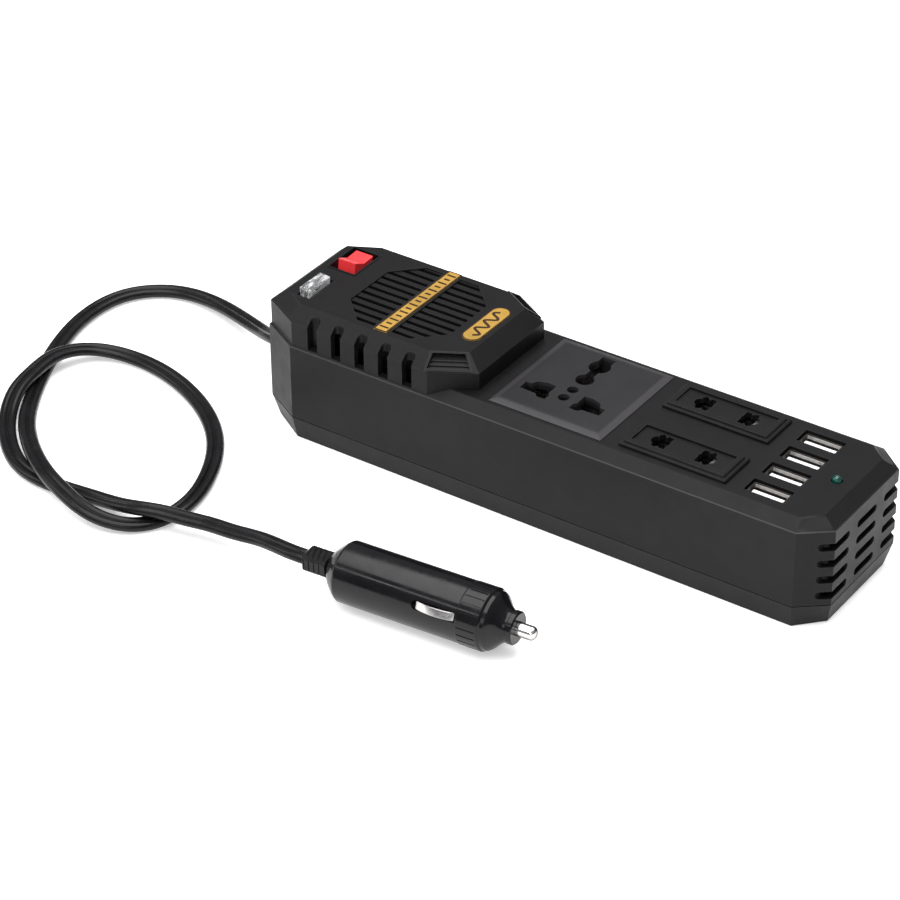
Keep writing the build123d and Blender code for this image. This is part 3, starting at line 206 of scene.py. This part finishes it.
def gloss_plastic(name, base, roughness, pale_edge_strength=0.2, shine=0.5):
    """Polished moulding: slight orange peel, hairline scratches and soft dust."""
    look = Look(name, base, roughness)
    look.set("Specular IOR Level", shine)
    peel = look.noise(1.6 * MM, 2.0, 0.5)
    scratch = look.noise(0.5 * MM, 6.0, 0.7, look.stretched((0.06, 1.0, 1.0)))
    dust = look.noise(6 * MM, 6.0, 0.7)
    look.drive(look.spread(dust, 0.35, 0.75, roughness - 0.05, roughness + 0.1), "Roughness")
    pale_edges = look.math("MULTIPLY", look.edges(0.35 * MM), pale_edge_strength)
    tinted = look.mix(look.spread(dust, 0.4, 0.8, 0.0, 1.0), base, lighter(base, 1.12, 0.002))
    look.drive(look.mix(pale_edges, tinted, lighter(base, 1.5, 0.04)), "Base Color")
    normal = look.bump(peel, 0.02 * MM, 0.5)
    look.drive(look.bump(scratch, 0.008 * MM, 0.4, normal), "Normal")
    return look


def bright_metal(name, base, roughness, grain_direction=(1.0, 0.05, 1.0)):
    """Plated or drawn metal with fine lines along one direction and dulled patches."""
    look = Look(name, base, roughness, 1.0)
    lines = look.noise(0.12 * MM, 4.0, 0.6, look.stretched(grain_direction))
    patch = look.noise(2.5 * MM, 4.0, 0.6)
    look.drive(look.spread(patch, 0.3, 0.7, roughness * 0.7, roughness * 1.5), "Roughness")
    look.drive(look.mix(look.spread(patch, 0.35, 0.8, 0.0, 1.0), base, lighter(base, 0.82)), "Base Color")
    look.drive(look.bump(lines, 0.01 * MM, 0.35), "Normal")
    return look


def case_plastic():
    """Grained black, with a painted highlight in a pale line round the shells' seam."""
    base = (0.0060, 0.0060, 0.0066)
    look = moulded_plastic("case_plastic", base, 0.46, 0.30 * MM, 0.03 * MM, 0.65, 0.15)
    # Painted highlight: a pale line at the height of the seam between the shells.
    painted_seam_highlight = look.band(35.9 * MM, 36.1 * MM, 0.15 * MM)
    look.drive(look.mix(painted_seam_highlight, look.colour, (0.035, 0.035, 0.037)), "Base Color")
    return look


def socket_plastic():
    """Greyer black, with a painted reflection that makes the universal plate's bevelled rim paler than its
    face.
    """
    base = (0.0125, 0.0115, 0.0128)
    look = moulded_plastic("socket_plastic", base, 0.42, 0.22 * MM, 0.02 * MM, 0.35, 0.26)
    plate_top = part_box("universal_socket")[1][2]
    # Painted reflection: a paler band on the plate's bevel, just below its top.
    painted_bevel_sheen = look.band(plate_top - 1.2 * MM, plate_top - 0.3 * MM, 0.18 * MM)
    look.drive(look.mix(painted_bevel_sheen, look.colour, (0.030, 0.028, 0.030)), "Base Color")
    return look


def switch_plastic():
    return moulded_plastic("switch_plastic", (0.006, 0.006, 0.007), 0.38, 0.2 * MM, 0.01 * MM, 0.2, 0.2)


def fan_plastic():
    return moulded_plastic("fan_plastic", (0.008, 0.008, 0.009), 0.42, 0.25 * MM, 0.015 * MM, 0.2, 0.2)


def component_black():
    return moulded_plastic("component_black", (0.010, 0.010, 0.011), 0.5, 0.15 * MM, 0.02 * MM, 0.2)


def cord_pvc():
    """Soft vinyl: satin skin with faint draw lines and a dusty bloom."""
    base = (0.0048, 0.0048, 0.0053)
    look = Look("cord_pvc", base, 0.26)
    look.set("Specular IOR Level", 0.17)
    bloom = look.noise(7 * MM, 5.0, 0.6)
    skin = look.noise(0.35 * MM, 3.0, 0.6)
    waves = look.noise(3.5 * MM, 2.0, 0.5)
    dusty = look.spread(bloom, 0.35, 0.75, 0.0, 1.0)
    look.drive(look.mix(dusty, base, lighter(base, 1.35, 0.002)), "Base Color")
    look.drive(look.spread(bloom, 0.3, 0.7, 0.20, 0.32), "Roughness")
    normal = look.bump(waves, 0.02 * MM, 0.5)
    look.drive(look.bump(skin, 0.012 * MM, 0.6, normal), "Normal")
    return look


def lead_red():
    return gloss_plastic("lead_red", (0.25, 0.012, 0.01), 0.4)


def plug_plastic():
    return gloss_plastic("plug_plastic", (0.004, 0.004, 0.0048), 0.15, 0.15, 0.24)


def rocker_red():
    """Glossy red nylon that lets a little light through."""
    look = gloss_plastic("rocker_red", (0.78, 0.040, 0.045), 0.24)
    look.set("Subsurface Weight", 0.15)
    look.set("Subsurface Radius", (2 * MM, 0.4 * MM, 0.3 * MM))
    return look


def accent_yellow():
    """Printed film with a golden sheen, flecked like metallic ink and ochre towards its edges."""
    base = (0.45, 0.26, 0.042)
    look = Look("accent_yellow", base, 0.34, 0.35)
    fleck = look.noise(0.12 * MM, 2.0, 0.6)
    sheen = look.noise(9 * MM, 2.0, 0.5)
    tone = look.mix(look.spread(sheen, 0.3, 0.7, 0.0, 1.0), lighter(base, 0.86), lighter(base, 1.16))
    tone = look.mix(look.spread(fleck, 0.55, 0.8, 0.0, 0.5), tone, (0.72, 0.52, 0.18))
    look.drive(look.mix(look.edges(1.0 * MM), tone, (0.22, 0.10, 0.014)), "Base Color")
    look.drive(look.spread(fleck, 0.3, 0.7, 0.28, 0.45), "Roughness")
    look.drive(look.bump(fleck, 0.008 * MM, 0.4), "Normal")
    return look


def print_ink():
    """Dark brown ink, slightly raised and satin."""
    base = (0.022, 0.010, 0.004)
    look = Look("print_ink", base, 0.5)
    look.set("Specular IOR Level", 0.2)
    grain = look.noise(0.1 * MM, 2.0, 0.5)
    look.drive(look.mix(look.spread(grain, 0.4, 0.8, 0.0, 1.0), base, lighter(base, 2.2)), "Base Color")
    look.drive(look.bump(grain, 0.01 * MM, 0.4), "Normal")
    return look


def fuse_clear():
    """Clear polycarbonate with flow marks that catch the light in white streaks, and a painted highlight
    that whitens its edges.
    """
    look = Look("fuse_clear", (0.97, 0.98, 0.985), 0.08)
    look.set("IOR", 1.58)
    streak = look.noise(1.5 * MM, 2.0, 0.5, look.stretched((1.0, 0.3, 0.5)))
    frost = look.spread(streak, 0.5, 0.66, 0.92, 0.35)
    # Painted highlight: sharp edges let less light through, so they show whiter.
    clear = look.spread(look.edges(0.5 * MM), 0.0, 1.0, 1.0, 0.4)
    look.drive(look.math("MULTIPLY", frost, clear), "Transmission Weight")
    look.drive(look.spread(streak, 0.35, 0.7, 0.04, 0.2), "Roughness")
    look.drive(look.bump(streak, 0.06 * MM, 0.7), "Normal")
    return look


def fuse_glass():
    look = Look("fuse_glass", (0.95, 0.98, 0.98), 0.02)
    look.set("Transmission Weight", 1.0)
    look.drive(look.bump(look.noise(3 * MM, 2.0), 0.02 * MM, 0.5), "Normal")
    return look


def contact_metal():
    return bright_metal("contact_metal", (0.80, 0.77, 0.72), 0.2)


def usb_steel():
    """Tinned shell with painted light and shade: a painted highlight band on its long walls, and painted
    shade on its cut edge, its short walls and the depth below.
    """
    bright, painted_shade_colour = (0.95, 0.95, 0.96), (0.05, 0.042, 0.04)
    look = Look("usb_steel", bright, 0.3, 0.7)
    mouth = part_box("usb_shell_1")[1][2]
    # Painted light and shade: a lit band from 0.4 to 1.6 mm below the mouth, strongest on walls facing
    # along Y; the rest is painted dark.
    painted_light_band = look.band(mouth - 1.6 * MM, mouth - 0.4 * MM, 0.12 * MM)
    long_wall = look.spread(look.sideways(), 0.4, 0.8, 0.12, 1.0)
    look.drive(look.mix(look.math("MULTIPLY", painted_light_band, long_wall), painted_shade_colour, bright), "Base Color")
    look.drive(look.spread(look.noise(1.5 * MM), 0.3, 0.7, 0.26, 0.42), "Roughness")
    drawn = look.noise(0.1 * MM, 3.0, 0.6, look.stretched((0.06, 1.0, 1.0)))
    look.drive(look.bump(drawn, 0.008 * MM, 0.4), "Normal")
    return look


def contact_gold():
    return bright_metal("contact_gold", (0.93, 0.68, 0.28), 0.18)


def plug_nickel():
    """Nickel plate with painted shade that darkens and browns it towards its outline as the camera sees it.
    """
    look = bright_metal("plug_nickel", (0.86, 0.84, 0.83), 0.16, (0.05, 1.0, 1.0))
    # Painted shade: darker and browner where the surface turns away from the viewer.
    painted_outline_shade = look.spread(look.facing(), 0.12, 0.6, 0.0, 1.0)
    look.drive(look.mix(painted_outline_shade, (0.80, 0.78, 0.77), (0.10, 0.075, 0.068)), "Base Color")
    return look


def screw_steel():
    return bright_metal("screw_steel", (0.55, 0.55, 0.56), 0.3)


def aluminium_sink():
    return bright_metal("aluminium_sink", (0.74, 0.75, 0.77), 0.34, (1.0, 1.0, 0.04))


def coil_copper():
    return bright_metal("coil_copper", (0.72, 0.33, 0.14), 0.28)


def usb_white():
    """Glass-filled white nylon with a faint warm mottle."""
    base = (0.86, 0.86, 0.84)
    look = Look("usb_white", base, 0.4)
    mottle = look.noise(1.2 * MM, 4.0, 0.6)
    look.drive(look.mix(look.spread(mottle, 0.3, 0.7, 0.0, 1.0), base, lighter(base, 0.92)), "Base Color")
    look.drive(look.bump(look.noise(0.1 * MM), 0.01 * MM, 0.5), "Normal")
    look.set("Subsurface Weight", 0.1)
    look.set("Subsurface Radius", (0.6 * MM, 0.6 * MM, 0.5 * MM))
    return look


def led_green():
    """Dark tinted epoxy dome with a faint glow from inside."""
    dark, light = (0.001, 0.035, 0.028), (0.006, 0.13, 0.095)
    look = Look("led_green", dark, 0.05)
    look.set("Transmission Weight", 0.3)
    look.set("IOR", 1.54)
    depth = look.noise(0.9 * MM, 2.0, 0.5)
    look.drive(look.mix(look.spread(depth, 0.4, 0.7, 0.0, 1.0), dark, light), "Base Color")
    look.set("Emission Color", (0.01, 0.35, 0.24, 1.0))
    look.set("Emission Strength", 0.03)
    look.drive(look.bump(depth, 0.03 * MM, 0.4), "Normal")
    return look


def board_green():
    """Solder mask over copper tracks, with bare pads."""
    look = Look("board_green", (0.01, 0.11, 0.035), 0.3)
    brick = look.tree.nodes.new("ShaderNodeTexBrick")
    brick.inputs["Scale"].default_value = 1.0 / (9 * MM)
    brick.inputs["Mortar Size"].default_value = 0.07
    brick.inputs["Color1"].default_value = (0.006, 0.085, 0.026, 1.0)
    brick.inputs["Color2"].default_value = (0.01, 0.12, 0.04, 1.0)
    brick.inputs["Mortar"].default_value = (0.03, 0.26, 0.09, 1.0)
    look.link(look.where, brick.inputs["Vector"])
    pads = look.spread(look.cells(4.2 * MM), 0.16, 0.13, 0.0, 1.0)
    look.drive(look.mix(pads, brick.outputs["Color"], (0.62, 0.6, 0.56)), "Base Color")
    look.drive(pads, "Metallic")
    look.drive(look.bump(brick.outputs["Fac"], 0.03 * MM, 0.6), "Normal")
    return look


def ferrite():
    return moulded_plastic("ferrite", (0.045, 0.045, 0.048), 0.6, 0.12 * MM, 0.03 * MM, 0.5)


def winding_tape():
    """Dark amber polyester tape whose edge shows round the coil."""
    base = (0.022, 0.013, 0.004)
    look = Look("winding_tape", base, 0.35)
    wrap = look.noise(1.2 * MM, 3.0, 0.6, look.stretched((0.1, 0.1, 1.0)))
    look.drive(look.mix(look.spread(wrap, 0.35, 0.7, 0.0, 1.0), base, lighter(base, 0.7)), "Base Color")
    look.drive(look.bump(wrap, 0.06 * MM, 0.6), "Normal")
    return look


def capacitor_sleeve():
    return gloss_plastic("capacitor_sleeve", (0.012, 0.018, 0.06), 0.3)


MAKERS = (
    case_plastic, socket_plastic, accent_yellow, rocker_red, switch_plastic, fuse_clear, contact_metal,
    usb_steel, usb_white, contact_gold, led_green, fan_plastic, coil_copper, board_green, ferrite,
    winding_tape, aluminium_sink, component_black, capacitor_sleeve, screw_steel, cord_pvc, lead_red,
    plug_plastic, plug_nickel, fuse_glass, print_ink,
)
MATERIALS = {maker.__name__: maker().material for maker in MAKERS}


def paint_nodes():
    for part in frame["record"]["subparts"]:
        mesh = NODES[part["node"]].data
        mesh.materials.clear()
        mesh.materials.append(MATERIALS[part["material_slot"]])


# ================================================================ softened edges
EDGE_RADIUS = {
    "lower_shell": 0.5, "upper_shell": 0.35, "universal_socket": 0.2, "two_pin_outlet_near": 0.25,
    "two_pin_outlet_far": 0.25, "switch_rocker": 0.5, "switch_housing": 0.15, "accent_strip": 0.12,
    "rating_badge": 0.12, "fuse_holder": 0.15, "fuse_body": 0.25, "plug_barrel": 0.3, "plug_cap": 0.12,
    "plug_boot": 0.35, "usb_tongue_1": 0.12, "usb_tongue_2": 0.12, "usb_tongue_3": 0.12,
    "usb_tongue_4": 0.12, "cable_grommet": 0.3, "fan_frame": 0.3, "fan_rotor": 0.15, "plug_tip": 0.1,
    "side_contact_near": 0.12, "side_contact_far": 0.12,
}
SHARP_ANGLE = 28                # degrees between two faces from which their edge is rounded
PIERCED = ("two_pin_outlet_near", "two_pin_outlet_far")     # merging facets would lose their faces


def soften(node, radius):
    """Welds the node's surface, merges flat facets and rounds its sharp edges by `radius` millimetres."""
    piece = NODES[node]
    weld = piece.modifiers.new("weld", "WELD")
    weld.merge_threshold = 0.002 * MM
    if node not in PIERCED:
        flatten = piece.modifiers.new("flatten", "DECIMATE")
        flatten.decimate_type = "DISSOLVE"
        flatten.angle_limit = math.radians(1.0)
    bevel = piece.modifiers.new("round", "BEVEL")
    bevel.width = radius * MM
    bevel.segments = 2
    bevel.limit_method = "ANGLE"
    bevel.angle_limit = math.radians(SHARP_ANGLE)
    piece.modifiers.new("shade", "WEIGHTED_NORMAL")


def shade(node):
    """Smooth shading on every face of the node."""
    mesh = NODES[node].data
    for polygon in mesh.polygons:
        polygon.use_smooth = True


# ================================================================ printed marks
INK_SINK = 0.05 * MM            # how far the ink reaches into the film below it
TICK_RISE = 0.05 * MM           # how far ticks and wave stand out of the film
BORDER_RISE = 0.04 * MM         # the same for the border lines


def ribbon(mesh, path, width, low, high, closed=False):
    """Adds a flat bar of constant width that follows a path in plan."""
    count = len(path)
    sections = []
    for index, (x, y) in enumerate(path):
        before = path[index - 1] if closed or index else path[0]
        after = path[(index + 1) % count] if closed or index < count - 1 else path[-1]
        along = Vector((after[0] - before[0], after[1] - before[1])).normalized()
        across = Vector((-along.y, along.x)) * width / 2
        corners = ((across, low), (across, high), (-across, high), (-across, low))
        sections.append([mesh.verts.new((x + side.x, y + side.y, z)) for side, z in corners])
    for index in range(count if closed else count - 1):
        here, there = sections[index], sections[(index + 1) % count]
        for corner in range(4):
            follow = (corner + 1) % 4
            mesh.faces.new((here[corner], there[corner], there[follow], here[follow]))
    if not closed:
        mesh.faces.new(reversed(sections[0]))
        mesh.faces.new(sections[-1])


def stadium(centre, length, width, steps=14):
    """Points round a round-ended outline whose long side lies along Y."""
    radius, straight = width / 2, (length - width) / 2
    points = []
    for end in (1, -1):
        for step in range(steps + 1):
            angle = math.pi * step / steps + (0 if end > 0 else math.pi)
            x = centre[0] + radius * math.cos(angle)
            y = centre[1] + end * straight + radius * math.sin(angle)
            points.append((x, y))
    return points


def finished_mesh(mesh, name, slot, body):
    bmesh.ops.recalc_face_normals(mesh, faces=mesh.faces)
    data = bpy.data.meshes.new(name)
    mesh.to_mesh(data)
    mesh.free()
    piece = bpy.data.objects.new(name, data)
    bpy.context.scene.collection.objects.link(piece)
    data.materials.append(MATERIALS[slot])
    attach(piece, body)
    return piece


def strip_marks():
    """A graduated scale along the gold strip, with a fine line round it."""
    lowest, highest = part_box("accent_strip")
    middle = (lowest.x + highest.x) / 2
    top = highest.z
    mesh = bmesh.new()
    tick_count, pitch = 15, 2.77 * MM
    for index in range(tick_count):
        y = (lowest.y + highest.y) / 2 + (index - (tick_count - 1) / 2) * pitch
        reach = 1.7 * MM if index % 2 == 0 else 1.1 * MM
        ribbon(mesh, [(middle - reach, y), (middle + reach, y)], 0.85 * MM, top - INK_SINK, top + TICK_RISE)
    inset = 0.26 * MM
    corners = [
        (lowest.x + inset, lowest.y + inset),
        (highest.x - inset, lowest.y + inset),
        (highest.x - inset, highest.y - inset),
        (lowest.x + inset, highest.y - inset),
    ]
    for start, end in zip(corners, corners[1:] + corners[:1]):
        ribbon(mesh, [start, end], 0.5 * MM, top - INK_SINK, top + BORDER_RISE)
    return finished_mesh(mesh, "strip_marks", "print_ink", "case")


def badge_marks():
    """A sine wave on the badge, with a fine line round it."""
    lowest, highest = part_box("rating_badge")
    centre = ((lowest.x + highest.x) / 2, (lowest.y + highest.y) / 2)
    top = highest.z
    mesh = bmesh.new()
    half, swing, steps, half_waves = 8.2 * MM, 1.75 * MM, 72, 6
    wave = []
    for step in range(steps + 1):
        turn = step / steps
        across = swing * math.sin(turn * half_waves * math.pi)
        wave.append((centre[0] + across, centre[1] + half * (2 * turn - 1)))
    ribbon(mesh, wave, 1.0 * MM, top - INK_SINK, top + TICK_RISE)
    outline = stadium(centre, highest.y - lowest.y - 0.4 * MM, highest.x - lowest.x - 0.4 * MM)
    ribbon(mesh, outline, 0.4 * MM, top - INK_SINK, top + BORDER_RISE, closed=True)
    return finished_mesh(mesh, "badge_marks", "print_ink", "case")


# ================================================================ studio
def studio():
    """Pale floor lit a little from below, an even dome and soft boxes."""
    bpy.ops.mesh.primitive_plane_add(size=12.0, location=(0, 0, -0.0002))
    floor = bpy.context.object
    floor.name = "floor"
    paper = Look("floor_paper", (0.9, 0.9, 0.895), 0.9)
    paper.set("Emission Color", (1.0, 1.0, 1.0, 1.0))
    paper.set("Emission Strength", 0.4)
    paper.drive(paper.bump(paper.noise(0.6 * MM), 0.01 * MM, 0.2), "Normal")
    floor.data.materials.append(paper.material)

    world = bpy.data.worlds.new("dome")
    bpy.context.scene.world = world
    world.use_nodes = True
    tree = world.node_tree
    background = tree.nodes["Background"]
    background.inputs["Strength"].default_value = 1.0
    direction = tree.nodes.new("ShaderNodeTexCoord")
    height = tree.nodes.new("ShaderNodeSeparateXYZ")
    ramp = tree.nodes.new("ShaderNodeValToRGB")
    ramp.color_ramp.elements[0].position = 0.0
    ramp.color_ramp.elements[0].color = (0.10, 0.10, 0.105, 1.0)
    ramp.color_ramp.elements[1].position = 1.0
    ramp.color_ramp.elements[1].color = (0.55, 0.55, 0.56, 1.0)
    tree.links.new(direction.outputs["Generated"], height.inputs["Vector"])
    tree.links.new(height.outputs["Z"], ramp.inputs["Fac"])
    tree.links.new(ramp.outputs["Color"], background.inputs["Color"])

    soft_box("top_box", (-0.1, 0.0, 1.5), (0.0, 0.0, 0.0), 2.2, 1.4, 44.0)
    soft_box("left_box", (-1.2, -0.5, 0.8), (-0.05, 0.0, 0.0), 0.7, 0.9, 5.0)
    soft_box("front_box", (0.5, -1.5, 0.7), (0.0, 0.0, 0.0), 0.9, 0.5, 4.0)
    soft_box("strip_box", (-0.7, -1.08, 0.82), (-0.7, -0.09, 0.0), 1.5, 0.06, 2.6)


def soft_box(name, place, target, width, height, power):
    light = bpy.data.lights.new(name, "AREA")
    light.shape = "RECTANGLE"
    light.size = width
    light.size_y = height
    light.energy = power
    lamp = bpy.data.objects.new(name, light)
    bpy.context.scene.collection.objects.link(lamp)
    lamp.location = place
    lamp.rotation_euler = (Vector(target) - Vector(place)).to_track_quat("-Z", "Y").to_euler()


def camera():
    """Long lens from above the vented end, as a product shot."""
    data = bpy.data.cameras.new("camera")
    data.sensor_width = 36.0
    data.lens = 131.72
    data.clip_start = 0.01
    data.clip_end = 50.0
    shot = bpy.data.objects.new("camera", data)
    bpy.context.scene.collection.objects.link(shot)
    right = Vector((0.82405, 0.56648, -0.00618)).normalized()
    azimuth, elevation = math.radians(34.74), math.radians(33.81)
    back = Vector((
        math.sin(azimuth) * math.cos(elevation),
        -math.cos(azimuth) * math.cos(elevation),
        math.sin(elevation),
    ))
    right = (right - right.dot(back) * back).normalized()
    up = back.cross(right)
    turn = Matrix((right, up, back)).transposed().to_4x4()
    shot.matrix_world = Matrix.Translation((0.4773, -0.7585, 0.6141)) @ turn
    bpy.context.scene.camera = shot


# ================================================================ assembly
paint_nodes()
for node_name in NODES:
    shade(node_name)
for node_name, millimetres in EDGE_RADIUS.items():
    soften(node_name, millimetres)
strip_marks()
badge_marks()
studio()
camera()
bpy.context.scene.view_settings.view_transform = "Standard"
